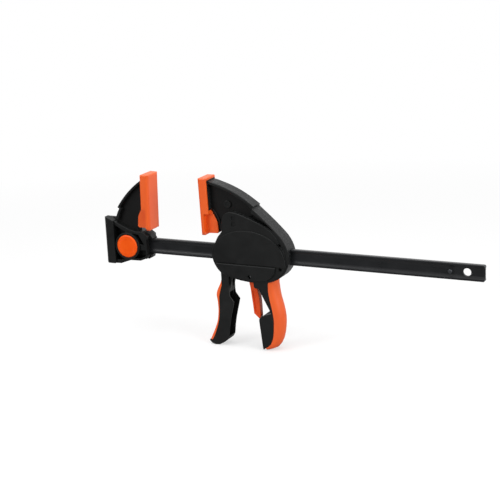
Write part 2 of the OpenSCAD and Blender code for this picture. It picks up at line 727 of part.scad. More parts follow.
module housing_half(side) {
    at_head() difference() {
        half(side) housing_solid();
        chamber();
        // bar channel
        translate([-big / 2, -bar_w / 2 - bar_gap, -bt - bar_gap])
            cube([2 * big, bar_w + 2 * bar_gap, bar_h + 2 * bar_gap]);
        // blind seats of the trigger pin, and through seat of the lever pin
        translate([pivot[0], 0, pivot[1]])
            pin_y(pivot_d + 2 * pin_gap, -body_w / 2 + 1.6, body_w / 2 - 1.6);
        translate([lever_pin[0], 0, lever_pin[1]])
            pin_y(lever_pin_d + 2 * pin_gap, -panel_w, panel_w);
        for (y = [-panel_w, body_w / 2 - 1])
            translate([lever_pin[0], 0, lever_pin[1]])
                pin_y(far_recess_d, y, y + panel_w - body_w / 2 + 1);
        // shallow windows in the upper panels, each with a bar across
        for (y = [-panel_w, body_w / 2 - 1.2], z = [28, 36])
            slab(y, y + panel_w - body_w / 2 + 1.2)
                translate([46, up + z]) rounded_rect([7, 6.4], 1.2);
        for (s = screws)
            translate([s[0], 0, s[1]]) {
                pin_y(screw_d + 2 * pin_gap,
                    s[3] > 1 ? -panel_w : s[2] - screw_seat - screw_grip(s) - 0.6, s[2]);
                pin_y(screw_head_d + 0.6, s[2] - screw_seat, panel_w);
                if (s[3] > 0)
                    pin_y(far_recess_d, -panel_w, -s[2] + s[3]);
            }
    }
}

module housing_front() {
    color("#212322") housing_half(-1);
}

module housing_back() {
    color("#262827") housing_half(1);
}

module grip_overmold() {
    color("#e5602f") at_head()
        wrap(grip_front(), grip_back(), [for (p = grip_front()) handle_w], 0.75, 14);
}

module housing_screws() {
    color("#8d9094") at_head() for (s = screws)
        translate([s[0], s[2] - screw_seat, s[1]]) difference() {
            union() {
                pin_y(screw_head_d, 0, screw_head_t);
                pin_y(screw_d, -screw_grip(s), 0.1);
            }
            translate([0, screw_head_t - 1, 0]) for (a = [0, 90])
                rotate([0, a, 0]) translate([-2, 0, -0.4]) cube([4, 2, 0.8]);
        }
}

// ---------- trigger ----------

// front line of the orange strip and the line where it meets the black body
function strip_front() = smooth([[22.8, -dn - 31], [19.6, -dn - 37], [14.4, -dn - 46.5],
    [12.6, -dn - 53.5], [14, -dn - 60], [15, -dn - 69], [15.2, -dn - 78], [13.5, tip + 39],
    [10.2, tip + 29.5], [4.8, tip + 18], [0, tip + 8]], 2);
function strip_back() = smooth([[23.3, -dn - 32.5], [23.4, -dn - 39], [20.6, -dn - 49],
    [19, -dn - 56], [18.8, -dn - 62], [18.6, -dn - 70], [18.2, -dn - 80], [16.6, tip + 38.5],
    [13.2, tip + 27], [9.4, tip + 16.5], [4.6, tip + 7.5]], 2);

// width of the trigger at a height: it tapers to go between the housing's walls
trigger_top_w = chamber_w - 1.4;
taper_z = [-dn - 46, -dn - 24];
function trigger_wide(z) = let (t = (z - taper_z[0]) / (taper_z[1] - taper_z[0]))
    trigger_w + (trigger_top_w - trigger_w) * min(max(t, 0), 1);

module trigger_front_view() {
    a = trigger_top_w / 2;
    b = trigger_w / 2;
    translate([-1, 0, 0]) rotate([90, 0, 90]) linear_extrude(60)
        polygon([[-a, 0], [-a, taper_z[1]], [-b, taper_z[0]], [-b, tip - 1],
            [b, tip - 1], [b, taper_z[0]], [a, taper_z[1]], [a, 0]]);
}

module trigger_body_2d() {
    polygon(concat([[22.6, -dn - 12]], strip_back(),
        [[-0.4, tip + 7.2], [0.6, tip + 4.6], [4, tip + 1.6], [9, tip], [16, tip + 0.8],
            [23, tip + 4.6], [28, tip + 8.3], [31.3, tip + 13.4]],
        bow([31.6, tip + 15], [42.3, -dn - 66], 1.5, 4),
        [[42.5, -dn - 62.5], [39, -dn - 58], [35.8, -dn - 53.5], [35.2, -dn - 48],
            [35.6, -dn - 26], [34.5, -dn - 12]]));
}

// hollow of the trigger's back, open to the rear
module trigger_hollow_2d() {
    polygon([[27, -dn - 48], [23.5, -dn - 56], [22.6, -dn - 66], [22, -dn - 84],
        [20.2, tip + 38], [16.6, tip + 26], [13, tip + 16], [15, tip + 8], [23, tip + 10],
        [60, tip + 30], [60, -dn - 50]]);
}

module trigger_neck_2d() {
    polygon([[24, -dn - 10], [24, -dn - 50], [33.2, -dn - 58], [34.5, -dn - 48],
        [40, -dn - 26], [33.4, -dn - 4.2], [24.2, -dn - 4.2]]);
}

module trigger_arms_2d() {
    translate(pivot) circle(d = pivot_d + 7);
    polygon([pivot - [6.5, 0], [24, -bt - 8], [34, -bt - 8], [nose_x, bt + 0.6],
        [nose_x, bt + 4], pivot + [5, 4.4]]);
}

module trigger() {
    arm_in = bar_w / 2 + 0.7;
    color("#212322") at_head() difference() {
        union() {
            difference() {
                intersection() {
                    wide(trigger_w) trigger_body_2d();
                    trigger_front_view();
                }
                wide(trigger_w - 2 * trigger_wall) trigger_hollow_2d();
            }
            difference() {
                wide(neck_w) trigger_neck_2d();
                wide(neck_w - 2 * trigger_wall) polygon([[29, -bt - 16], [29, -bt - 70],
                    [60, -bt - 70], [60, -bt - 16]]);
            }
            for (s = [-1, 1])
                slab(s > 0 ? arm_in : -neck_w / 2, s > 0 ? neck_w / 2 : -arm_in) trigger_arms_2d();
        }
        translate([pivot[0], 0, pivot[1]]) pin_y(pivot_d + 4 * pin_gap, -big, big);
    }
}

module trigger_grip() {
    color("#f2662b") at_head()
        wrap(strip_back(), strip_front(), [for (p = strip_back()) trigger_wide(p[1])], 0.4, 12);
}

module trigger_pivot_pin() {
    reach = body_w / 2 - 1.7;
    color("#a9abad") at_head() translate([pivot[0], 0, pivot[1]])
        pin_y(pivot_d, -reach, reach);
}

// ---------- drive and brake ----------

// a jam plate standing square on the bar, from x = 0 to t
module jam_plate(t, top, bottom, slot_h) {
    difference() {
        soft_box([0, -jam_w / 2, bottom], [t, jam_w / 2, top], t * 0.3);
        translate([-1, -bar_w / 2 - bar_gap, -slot_h / 2]) cube([t + 2, bar_w + 2 * bar_gap, slot_h]);
    }
}

drive_x = nose_x + free_gap;

module drive_plate_front() {
    color("#8d9094") at_head() translate([drive_x, 0, 0])
        jam_plate(drive_t, jam_top, jam_bottom, bar_h + 2 * bar_gap);
}

module drive_plate_rear() {
    color("#8d9094") at_head() translate([drive_x + drive_t, 0, 0])
        jam_plate(drive_t, jam_top, jam_bottom, bar_h + 2 * bar_gap);
}

module drive_spring() {
    x0 = drive_x + 2 * drive_t;
    color("#b9bcc0") at_head() translate([x0, 0, -bt - bar_gap - drive_coil_d / 2 - 0.2])
        coil(drive_coil_d, rib_x[0] - x0, 7);
}

module brake_plate() {
    reach = fulcrum[1] + bt + 26;        // length of the plate below its fulcrum
    color("#8d9094") at_head() translate([fulcrum[0], 0, fulcrum[1]]) rotate([0, brake_tilt, 0])
        translate([-brake_t / 2, 0, -fulcrum[1]]) difference() {
            union() {
                jam_plate(brake_t, fulcrum[1], -bt - 11, bar_h + 4 * bar_gap);
                translate([0, -lever_w / 2 + 0.5, fulcrum[1] - reach]) cube([brake_t, lever_w - 1, 20]);
            }
            translate([-1, -bar_w / 2 - bar_gap, -bt - 2 * bar_gap])
                cube([brake_t + 2, bar_w + 2 * bar_gap, bar_h + 4 * bar_gap]);
        }
}

module brake_spring() {
    z = -bt - 6.5;
    x0 = fulcrum[0] - tan(brake_tilt) * (fulcrum[1] - z) + brake_t / 2 + 0.6;
    color("#b9bcc0") at_head() translate([x0, 0, z]) coil(brake_coil_d, wall_x - x0, 5);
}

// ---------- release lever ----------

module lever_2d() {
    translate(lever_pin) circle(d = lever_pin_d + 5.6);
    polygon(concat(
        [lever_pin - [4.8, 0]],
        smooth([[65.6, -dn - 27.5], [65.4, -dn - 32.6], [66.2, -dn - 36.7], [67, -dn - 41],
            [67.6, -dn - 47], [68.6, -dn - 56], [69.8, -dn - 66], [71, -dn - 78.4]], 2),
        smooth([[73.2, -dn - 80.2], [78.6, -dn - 84.8], [80.4, -dn - 84.4], [81.5, -dn - 81],
            [81.4, -dn - 76], [81.2, -dn - 65], [80.5, -dn - 55], [78.8, -dn - 46],
            [77.4, -dn - 39], [77.2, -dn - 33]], 2),
        [lever_pin + [5.2, -5], lever_pin + [4.8, 0]]));
}

module lever_recess_2d() {
    polygon([[70, -dn - 44], [71.2, -dn - 55], [72.4, -dn - 66], [73.2, -dn - 76],
        [75.6, -dn - 76], [74.8, -dn - 66], [73.6, -dn - 55], [72.3, -dn - 44]]);
}

module release_lever() {
    color("#f2662b") at_head() difference() {
        wide(lever_w) lever_2d();
        for (s = [-1, 1])
            slab(s > 0 ? lever_w / 2 - lever_recess : -lever_w, s > 0 ? lever_w : -lever_w / 2 + lever_recess)
                lever_recess_2d();
        translate([lever_pin[0], 0, lever_pin[1]]) pin_y(lever_pin_d + 4 * pin_gap, -big, big);
    }
}

module release_pivot_pin() {
    reach = body_w / 2 - 2;
    color("#a9abad") at_head() translate([lever_pin[0], 0, lever_pin[1]])
        pin_y(lever_pin_d, -reach, reach);
}

bar();
bar_stop_pin();
fixed_jaw();
fixed_jaw_pad();
jaw_button();
jaw_lock_pin();
jaw_lock_spring();
jaw_spring_cap();
housing_front();
housing_back();
moving_jaw_pad();
grip_overmold();
housing_screws();
trigger();
trigger_grip();
trigger_pivot_pin();
drive_plate_front();
drive_plate_rear();
drive_spring();
brake_plate();
brake_spring();
release_lever();
release_pivot_pin();
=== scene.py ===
import math

import bmesh
import bpy
from mathutils import Matrix, Vector
from mathutils.bvhtree import BVHTree
from mathutils.geometry import delaunay_2d_cdt
from mathutils.kdtree import KDTree


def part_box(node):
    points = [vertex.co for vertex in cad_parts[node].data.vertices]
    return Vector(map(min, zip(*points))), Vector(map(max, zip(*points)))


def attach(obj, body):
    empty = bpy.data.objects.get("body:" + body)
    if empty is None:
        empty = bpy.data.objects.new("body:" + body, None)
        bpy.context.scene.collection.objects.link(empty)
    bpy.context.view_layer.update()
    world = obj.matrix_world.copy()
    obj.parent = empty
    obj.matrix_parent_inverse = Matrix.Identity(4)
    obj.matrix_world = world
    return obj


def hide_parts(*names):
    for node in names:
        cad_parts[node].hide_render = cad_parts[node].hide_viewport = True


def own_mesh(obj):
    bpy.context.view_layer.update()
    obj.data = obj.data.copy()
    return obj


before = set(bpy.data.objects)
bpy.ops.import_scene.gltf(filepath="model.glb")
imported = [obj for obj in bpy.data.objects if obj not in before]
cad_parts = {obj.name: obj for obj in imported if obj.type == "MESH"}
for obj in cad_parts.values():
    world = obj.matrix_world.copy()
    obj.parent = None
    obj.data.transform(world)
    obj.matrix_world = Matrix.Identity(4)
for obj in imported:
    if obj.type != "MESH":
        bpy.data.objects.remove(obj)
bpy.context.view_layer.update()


# ---------------------------------------------------------------- studio
# The clamp stands on the tips of its trigger and handle on a pale table that
# runs back into a white wall. A soft box hangs over it, a weak one stands
# behind it, and two more light it from the right and the left.

def linear(code):
    """An sRGB hex colour as the linear RGBA that a node wants."""
    parts = [int(code[i:i + 2], 16) / 255 for i in (1, 3, 5)]
    return [c / 12.92 if c <= 0.04045 else ((c + 0.055) / 1.055) ** 2.4 for c in parts] + [1.0]


def add(tree, kind, settings=None, inputs=None):
    """Adds one node with its settings, a ramp's colour stops among them, and its inputs.

    An input takes a value, another node's output, or a node for its first output.
    """
    node = tree.nodes.new(kind)
    for key, value in (settings or {}).items():
        if key == "stops":
            for stop, (position, code) in zip(node.color_ramp.elements, value):
                stop.position, stop.color = position, linear(code)
        else:
            setattr(node, key, value)
    for key, value in (inputs or {}).items():
        if isinstance(value, bpy.types.Node):
            value = value.outputs[0]
        if isinstance(value, bpy.types.NodeSocket):
            tree.links.new(value, node.inputs[key])
        else:
            node.inputs[key].default_value = value
    return node


def new_finish(name):
    """An empty material and its node tree."""
    material = bpy.data.materials.new(name)
    material.use_nodes = True
    material.node_tree.nodes.clear()
    return material, material.node_tree


table_top = bpy.data.meshes.new("table_top")
table_top.from_pydata([(-6, -6, 0), (6, -6, 0), (6, 6, 0), (-6, 6, 0)], [], [(0, 1, 2, 3)])
table = bpy.data.objects.new("table", table_top)
bpy.context.scene.collection.objects.link(table)

# White laminate: the camera sees it almost at full white with a faint shadow,
# and further off it runs into the wall's white. The light that it returns to
# the clamp is greyer, and glossy faces mirror it as white towards the wall.
laminate, tree = new_finish("white_laminate_table")
ray = add(tree, "ShaderNodeLightPath")
spot = add(tree, "ShaderNodeTexCoord").outputs["Object"]
from_foot = add(tree, "ShaderNodeVectorMath", {"operation": "LENGTH"}, {0: spot}).outputs["Value"]
white = add(tree, "ShaderNodeEmission", inputs={"Color": linear("#ffffff"), "Strength": 1.0})
lit = add(tree, "ShaderNodeBsdfDiffuse", inputs={"Color": linear("#fafafa")})
glow = add(tree, "ShaderNodeMapRange", inputs={
    "Value": from_foot, "From Min": 0.4, "From Max": 1.4, "To Min": 0.55, "To Max": 1.0})
shown = add(tree, "ShaderNodeMixShader", inputs={"Fac": glow, 1: lit, 2: white})
further_off = add(tree, "ShaderNodeMapRange", inputs={"Value": from_foot, "From Min": 0.2, "From Max": 0.6})
greys = add(tree, "ShaderNodeMix", {"data_type": "RGBA"}, {
    0: further_off, 6: linear("#b4b4b4"), 7: linear("#666666")})
dim = add(tree, "ShaderNodeBsdfDiffuse", inputs={"Color": greys.outputs[2]})
to_wall = add(tree, "ShaderNodeSeparateXYZ", inputs={0: spot}).outputs["Y"]
near_wall = add(tree, "ShaderNodeMapRange", inputs={"Value": to_wall, "From Min": 0.0, "From Max": 0.35})
gleam = add(tree, "ShaderNodeMath", {"operation": "MULTIPLY"},
            {0: near_wall, 1: ray.outputs["Is Glossy Ray"]})
mirrored = add(tree, "ShaderNodeMixShader", inputs={"Fac": gleam, 1: dim, 2: white})
pick = add(tree, "ShaderNodeMixShader", inputs={"Fac": ray.outputs["Is Camera Ray"], 1: mirrored, 2: shown})
add(tree, "ShaderNodeOutputMaterial", inputs={"Surface": pick})
table_top.materials.append(laminate)

# The wall is white to the camera, in mirrors and through glass, and lights the
# clamp at less than half of that.
world = bpy.data.worlds.new("white_wall")
world.use_nodes = True
tree = world.node_tree
tree.nodes.clear()
ray = add(tree, "ShaderNodeLightPath")
sees = add(tree, "ShaderNodeMath", {"operation": "MAXIMUM"},
           {0: ray.outputs["Is Camera Ray"], 1: ray.outputs["Is Glossy Ray"]})
sees = add(tree, "ShaderNodeMath", {"operation": "MAXIMUM"}, {0: sees, 1: ray.outputs["Is Transmission Ray"]})
soft = add(tree, "ShaderNodeBackground", inputs={"Color": linear("#ffffff"), "Strength": 0.45})
wall = add(tree, "ShaderNodeBackground", inputs={"Color": linear("#ffffff"), "Strength": 1.0})
pick = add(tree, "ShaderNodeMixShader", inputs={"Fac": sees, 1: soft, 2: wall})
add(tree, "ShaderNodeOutputWorld", inputs={"Surface": pick})
bpy.context.scene.world = world

middle = Vector((-0.05475, 0, 0.14553))
for name, place, size, watts in (
        ("soft_box_above", (-0.1, -0.2, 1.5), (1.6, 1.1), 14),
        ("soft_box_behind", (0.1, 1.7, 0.75), (2.4, 1.0), 3),
        ("soft_box_right", (1.6, -0.5, 0.8), (1.0, 1.0), 17),
        ("soft_box_left", (-1.2, -1.6, 1.0), (0.9, 0.9), 15)):
    lamp = bpy.data.lights.new(name, "AREA")
    lamp.shape = "RECTANGLE"
    lamp.size, lamp.size_y = size
    lamp.energy = watts
    holder = bpy.data.objects.new(name, lamp)
    holder.location = place
    holder.rotation_euler = (Vector(place) - middle).to_track_quat("Z", "Y").to_euler()
    bpy.context.scene.collection.objects.link(holder)

# A long lens looks at the middle of the head from its right front and from above.
azimuth, elevation, roll = (math.radians(angle) for angle in (26.4, 15.27, -2.68))
distance = 1.813
back = Vector((math.sin(azimuth) * math.cos(elevation), -math.cos(azimuth) * math.cos(elevation),
               math.sin(elevation)))
right = Vector((math.cos(azimuth), math.sin(azimuth), 0))
above = back.cross(right)
lens = bpy.data.cameras.new("camera")
lens.sensor_width = 36
lens.lens = 91.4
lens.clip_start, lens.clip_end = 0.05, 50
camera = bpy.data.objects.new("camera", lens)
camera.matrix_world = Matrix.Translation(middle + distance * back) @ Matrix((
    math.cos(roll) * right + math.sin(roll) * above,
    math.cos(roll) * above - math.sin(roll) * right, back)).transposed().to_4x4()
bpy.context.scene.collection.objects.link(camera)
bpy.context.scene.camera = camera
bpy.context.scene.view_settings.view_transform = "Standard"


# ---------------------------------------------------------------- bar
# The bar is cold-drawn steel of I section, cut to length and drilled near both
# ends, with a satin black electrophoretic paint. Its edges are rolled round,
# and faint draw marks run along it under the paint.

def beside(a, b, c, d):
    """The least distance to the line a-b from five spots on c-d, of those that lie beside it."""
    along = (b - a).normalized()
    least = 1.0
    for k in range(5):
        spot = c.lerp(d, k / 4)
        t = (spot - a).dot(along)
        if 0 < t < (b - a).length:
            least = min(least, (spot - a - t * along).length)
    return least


def room(edge):
    """How far an edge can be rounded before that meets another edge of the faces beside it."""
    clear_turn = 0.35   # the sine of the angle from which a neighbour turns off instead of running on
    safe = 0.8          # the share of a neighbour's length that the easing may use up
    share = 0.45        # two easings fit side by side in one face
    a, b = (v.co for v in edge.verts)
    free = 1.0
    for face in edge.link_faces:
        for other in face.edges:
            if other == edge:
                continue
            shared = [v for v in other.verts if v in edge.verts]
            if not shared:
                c, d = (v.co for v in other.verts)
                free = min(free, beside(a, b, c, d), beside(c, d, a, b))
                continue
            corner = shared[0]
            way = other.other_vert(corner).co - corner.co
            turn = way.normalized().cross((b - a).normalized()).length
            if turn > clear_turn:
                free = min(free, safe * way.length * turn)
            elif way.dot(edge.other_vert(corner).co - corner.co) > 0:
                free = min(free, way.length * turn)
    return share * free


def retiled(piece):
    """The piece's skin with each many-sided flat face cut into triangles that all face its way."""
    in_mm = 1000
    inside = 1          # keep only the triangles inside the outline,
    nearest = 1e-5      # take corners closer than this, in mm, as one
    speck = 1e-9        # and leave out triangles that are smaller than half of this, in square mm
    done = piece.evaluated_get(bpy.context.evaluated_depsgraph_get())
    skin = bmesh.new()
    skin.from_mesh(done.to_mesh())
    done.to_mesh_clear()
    for face in [face for face in skin.faces if len(face.verts) > 4]:
        u = face.normal.orthogonal().normalized()
        v = face.normal.cross(u)
        corners = list(face.verts)
        origin = corners[0].co.copy()
        flat = [Vector(((c.co - origin).dot(u), (c.co - origin).dot(v))) * in_mm for c in corners]
        places, _, tiles, sources, _, _ = delaunay_2d_cdt(
            flat, [], [list(range(len(flat)))], inside, nearest)
        found = [corners[source[0]] if source
                 else skin.verts.new(origin + (place[0] * u + place[1] * v) / in_mm)
                 for place, source in zip(places, sources)]
        skin.faces.remove(face)
        for tile in tiles:
            p, q, r = (places[i] for i in tile)
            way = (q - p).cross(r - p)
            if abs(way) > speck and len({found[i] for i in tile}) == 3:
                ends = [found[i] for i in (tile if way > 0 else tile[::-1])]
                if not skin.faces.get(ends):
                    skin.faces.new(ends).smooth = True
    skin.normal_update()
    return skin


def settle(piece, radius):
    """Bakes the easing, less of it wherever it would fold the skin or lift it off the solid."""
    tries = 9
    off = 0.6 * radius      # a spot further than this from the solid is faulty,
    turned_away = -0.2      # and so is one that faces away from it, by this cosine
    reach = 2.0 * radius    # the edges within this of a faulty spot are eased half as much,
    least_weight = 0.03     # and not at all once they are down to this
    speck = 1e-9            # a triangle under this many square metres doesn't show
    proud = 2e-5            # a corner that stands out by more than this goes back on the solid
    mesh = piece.data
    mesh.calc_loop_triangles()
    solid = BVHTree.FromPolygons([v.co for v in mesh.vertices],
                                 [tuple(t.vertices) for t in mesh.loop_triangles])
    weights = mesh.attributes["bevel_weight_edge"].data
    eased_edges = [e.index for e in mesh.edges if weights[e.index].value > 0]
    ends = KDTree(len(eased_edges) * 2)
    for index in eased_edges:
        for corner in mesh.edges[index].vertices:
            ends.insert(mesh.vertices[corner].co, index)
    ends.balance()
    best, least = None, math.inf
    for _ in range(tries):
        bpy.context.view_layer.update()
        skin = retiled(piece)
        faulty, spoilt = set(), 0
        for face in skin.faces:
            _, way, _, gap = solid.find_nearest(face.calc_center_median())
            if face.calc_area() > speck and (gap > off or face.normal.dot(way) < turned_away):
                spoilt += face.calc_area() * (1 + gap / radius)
                for corner in face.verts:
                    faulty.update(hit[1] for hit in ends.find_range(corner.co, reach))
        if spoilt < least:
            best, least = skin.copy(), spoilt
        skin.free()
        if not faulty:
            break
        for index in faulty:
            weight = weights[index].value
            weights[index].value = 0.5 * weight if weight > least_weight else 0.0
        mesh.update()
        piece.update_tag()
    for vertex in best.verts:
        spot, way, _, gap = solid.find_nearest(vertex.co)
        if gap > off or (vertex.co - spot).dot(way) > proud:
            vertex.co = spot
    piece.modifiers.clear()
    best.to_mesh(mesh)


def eased(node, body, finish, radius, angle=30, segments=2):
    """A copy of a solid with its loose triangles joined and its outer edges eased, by a radius in metres."""
    doubles = 2e-6
    one_plane = math.radians(0.5)
    least_weight = 0.02
    parting_weight = 0.15   # the edges where the halves meet stay nearly sharp, as a fine line,
    on_middle = 1e-5        # and lie within this of the middle plane
    shape = bmesh.new()
    shape.from_mesh(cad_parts[node].data)
    bmesh.ops.remove_doubles(shape, verts=shape.verts, dist=doubles)
    bmesh.ops.dissolve_limit(shape, angle_limit=one_plane, verts=shape.verts, edges=shape.edges)
    for face in shape.faces:
        face.smooth = True
        face.material_index = 0
    weight = shape.edges.layers.float.new("bevel_weight_edge")
    for edge in shape.edges:
        sharp = len(edge.link_faces) == 2 and edge.calc_face_angle(0) > math.radians(angle)
        edge.smooth = not sharp
        parting = all(abs(v.co.y) < on_middle for v in edge.verts)
        if sharp and radius and edge.calc_face_angle_signed() > 0:
            most = parting_weight if parting else 1.0
            edge[weight] = max(least_weight, min(most, room(edge) / radius))
    mesh = bpy.data.meshes.new(node + "_eased")
    shape.to_mesh(mesh)
    shape.free()
    mesh.materials.clear()
    mesh.materials.append(finish)
    piece = bpy.data.objects.new(node + "_eased", mesh)
    bpy.context.scene.collection.objects.link(piece)
    if radius:
        ease = piece.modifiers.new("eased_edges", "BEVEL")
        ease.width = radius
        ease.segments = segments
        ease.limit_method = "WEIGHT"
        ease.use_clamp_overlap = False
        ease.loop_slide = False
        settle(piece, radius)
    level = piece.modifiers.new("flat_faces_stay_flat", "WEIGHTED_NORMAL")
    level.weight = 100
    level.keep_sharp = True
    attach(piece, body)
    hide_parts(node)
    return piece


# Satin black paint on drawn steel: a dark, even coat that turns light grey
# where it faces the light, with streaks 60 mm long and 0.8 mm apart under
# clouds, nine to 200 mm. The real draw marks are finer, which wouldn't show.
painted_steel, tree = new_finish("satin_black_painted_drawn_steel")
spot = add(tree, "ShaderNodeTexCoord").outputs["Object"]
along = add(tree, "ShaderNodeMapping", inputs={"Vector": spot, "Scale": (1 / 0.06, 1 / 0.0008, 1 / 0.0008)})
streaks = add(tree, "ShaderNodeTexNoise", inputs={"Vector": along, "Scale": 1.0, "Detail": 3.0})
clouds = add(tree, "ShaderNodeTexNoise", inputs={"Vector": spot, "Scale": 9 / 0.2, "Detail": 2.0})
both = add(tree, "ShaderNodeMath", {"operation": "MULTIPLY_ADD"}, {0: streaks, 1: 0.5, 2: clouds})
sheen = add(tree, "ShaderNodeMapRange", inputs={
    "Value": both, "From Min": 0.5, "From Max": 1.1, "To Min": 0.27, "To Max": 0.4})
tone = add(tree, "ShaderNodeValToRGB", {"stops": ((0.0, "#141516"), (1.0, "#222325"))}, {"Fac": both})
ridge = add(tree, "ShaderNodeBump", inputs={"Height": streaks, "Strength": 0.25, "Distance": 0.00003})
paint = add(tree, "ShaderNodeBsdfPrincipled", inputs={
    "Base Color": tone, "Roughness": sheen, "Normal": ridge, "IOR": 1.5, "Specular IOR Level": 0.2})
add(tree, "ShaderNodeOutputMaterial", inputs={"Surface": paint})

eased("bar", "bar_assembly", painted_steel, radius=0.0003)


# ---------------------------------------------------------------- pins, plates and screws
# The pivots and the lock pin are ground, the stop pin is blackened and the jam
# plates are stamped from hardened strip. The screws, driven from the back, are
# zinc-plated, in a grey so near the ground pins' that they share that finish.

# Ground steel: a bright grey with fine grinding lines round each pin, about
# 0.1 mm apart on the real one and drawn 0.4 mm apart so that they show.
ground_steel, tree = new_finish("ground_steel_pins")
spot = add(tree, "ShaderNodeTexCoord").outputs["Object"]
lines = add(tree, "ShaderNodeMapping", inputs={"Vector": spot, "Scale": (1 / 0.005, 1 / 0.0004, 1 / 0.005)})
grind = add(tree, "ShaderNodeTexNoise", inputs={"Vector": lines, "Scale": 1.0, "Detail": 2.0})
rough = add(tree, "ShaderNodeMapRange", inputs={
    "Value": grind, "From Min": 0.3, "From Max": 0.7, "To Min": 0.25, "To Max": 0.42})
steel = add(tree, "ShaderNodeBsdfPrincipled", inputs={
    "Base Color": linear("#a6a8aa"), "Metallic": 1.0, "Roughness": rough})
add(tree, "ShaderNodeOutputMaterial", inputs={"Surface": steel})

# Blackened steel for the stop pin: phosphated, so darker and duller than the
# pins inside. Its crystals are far finer than the mottle of 1 mm that they are
# drawn as, so that they show.
phosphated_steel, tree = new_finish("phosphated_steel_stop_pin")
spot = add(tree, "ShaderNodeTexCoord").outputs["Object"]
crystal = add(tree, "ShaderNodeTexNoise", inputs={"Vector": spot, "Scale": 1 / 0.001, "Detail": 3.0})
tone = add(tree, "ShaderNodeValToRGB", {"stops": ((0.0, "#26272a"), (1.0, "#4a4c50"))}, {"Fac": crystal})
steel = add(tree, "ShaderNodeBsdfPrincipled", inputs={"Base Color": tone, "Metallic": 0.7, "Roughness": 0.45})
add(tree, "ShaderNodeOutputMaterial", inputs={"Surface": steel})

# Hardened strip: grey-blue, with rolling marks that run up each plate, drawn
# six to 50 mm along and three to 2 mm across, which is coarser than the real
# ones, to show.
hardened_strip, tree = new_finish("hardened_steel_strip_stamped")
spot = add(tree, "ShaderNodeTexCoord").outputs["Object"]
rolled = add(tree, "ShaderNodeMapping", inputs={"Vector": spot, "Scale": (3 / 0.002, 3 / 0.002, 6 / 0.05)})
marks = add(tree, "ShaderNodeTexNoise", inputs={"Vector": rolled, "Scale": 1.0, "Detail": 3.0})
tone = add(tree, "ShaderNodeValToRGB", {"stops": ((0.0, "#6b6f75"), (1.0, "#9a9da2"))}, {"Fac": marks})
steel = add(tree, "ShaderNodeBsdfPrincipled", inputs={"Base Color": tone, "Metallic": 1.0, "Roughness": 0.38})
add(tree, "ShaderNodeOutputMaterial", inputs={"Surface": steel})

eased("bar_stop_pin", "bar_assembly", phosphated_steel, radius=0.0002)
eased("trigger_pivot_pin", "head", ground_steel, radius=0.0003)
eased("release_pivot_pin", "head", ground_steel, radius=0.0003)
eased("jaw_lock_pin", "lock_button", ground_steel, radius=0.0003)
eased("housing_screws", "head", ground_steel, radius=0.00015)
eased("drive_plate_front", "drive_plates", hardened_strip, radius=0)
eased("drive_plate_rear", "drive_plates", hardened_strip, radius=0)
eased("brake_plate", "brake", hardened_strip, radius=0)


# ---------------------------------------------------------------- springs
# Three coil springs of drawn wire, 0.9 mm thick, work inside the mouldings:
# one returns the button, one the drive plates and one tilts the brake plate.

def recipe(name, *inputs):
    """A Geometry Nodes tree and its input sockets, which are given as pairs of name and kind."""
    tree = bpy.data.node_groups.new(name, "GeometryNodeTree")
    for label, kind in inputs:
        tree.interface.new_socket(label, in_out="INPUT", socket_type="NodeSocket" + kind)
    tree.interface.new_socket("Geometry", in_out="OUTPUT", socket_type="NodeSocketGeometry")
    return tree, add(tree, "NodeGroupInput").outputs


def grown(name, tree, values):
    """The plain mesh that a Geometry Nodes tree makes from its named inputs."""
    seed = bpy.data.objects.new(name + "_seed", bpy.data.meshes.new(name + "_seed"))
    bpy.context.scene.collection.objects.link(seed)
    grow = seed.modifiers.new(name, "NODES")
    grow.node_group = tree
    for item in tree.interface.items_tree:
        if item.in_out == "INPUT":
            grow[item.identifier] = values[item.name]
    bpy.context.view_layer.update()
    done = seed.evaluated_get(bpy.context.evaluated_depsgraph_get())
    mesh = bpy.data.meshes.new_from_object(done)
    seed.modifiers.remove(grow)
    bpy.data.objects.remove(seed)
    piece = bpy.data.objects.new(name, mesh)
    bpy.context.scene.collection.objects.link(piece)
    return piece


# Drawn spring wire: bright, with the faint brown clouds that oil tempering
# leaves, seven to 10 mm.
spring_wire, tree = new_finish("oil_tempered_spring_wire")
spot = add(tree, "ShaderNodeTexCoord").outputs["Object"]
temper = add(tree, "ShaderNodeTexNoise", inputs={"Vector": spot, "Scale": 7 / 0.01, "Detail": 2.0})
tone = add(tree, "ShaderNodeValToRGB", {"stops": ((0.0, "#8d8780"), (1.0, "#c2c4c6"))}, {"Fac": temper})
wire = add(tree, "ShaderNodeBsdfPrincipled", inputs={"Base Color": tone, "Metallic": 1.0, "Roughness": 0.3})
add(tree, "ShaderNodeOutputMaterial", inputs={"Surface": wire})

winding, given = recipe(
    "wound_spring", ("Turns", "Float"), ("Coil Radius", "Float"), ("Length", "Float"),
    ("Wire Radius", "Float"), ("Start", "Vector"), ("Turn", "Vector"), ("Wire", "Material"))
helix = add(winding, "GeometryNodeCurveSpiral", inputs={
    "Resolution": 28, "Rotations": given["Turns"], "Start Radius": given["Coil Radius"],
    "End Radius": given["Coil Radius"], "Height": given["Length"]})
ring = add(winding, "GeometryNodeCurvePrimitiveCircle", inputs={
    "Resolution": 10, "Radius": given["Wire Radius"]})
drawn = add(winding, "GeometryNodeCurveToMesh", inputs={
    "Curve": helix, "Profile Curve": ring, "Fill Caps": True})
put = add(winding, "GeometryNodeTransform", inputs={
    "Geometry": drawn, "Translation": given["Start"], "Rotation": given["Turn"]})
smoothed = add(winding, "GeometryNodeSetShadeSmooth", inputs={"Geometry": put})
real = add(winding, "GeometryNodeRealizeInstances", inputs={"Geometry": smoothed})
wired = add(winding, "GeometryNodeSetMaterial", inputs={"Geometry": real, "Material": given["Wire"]})
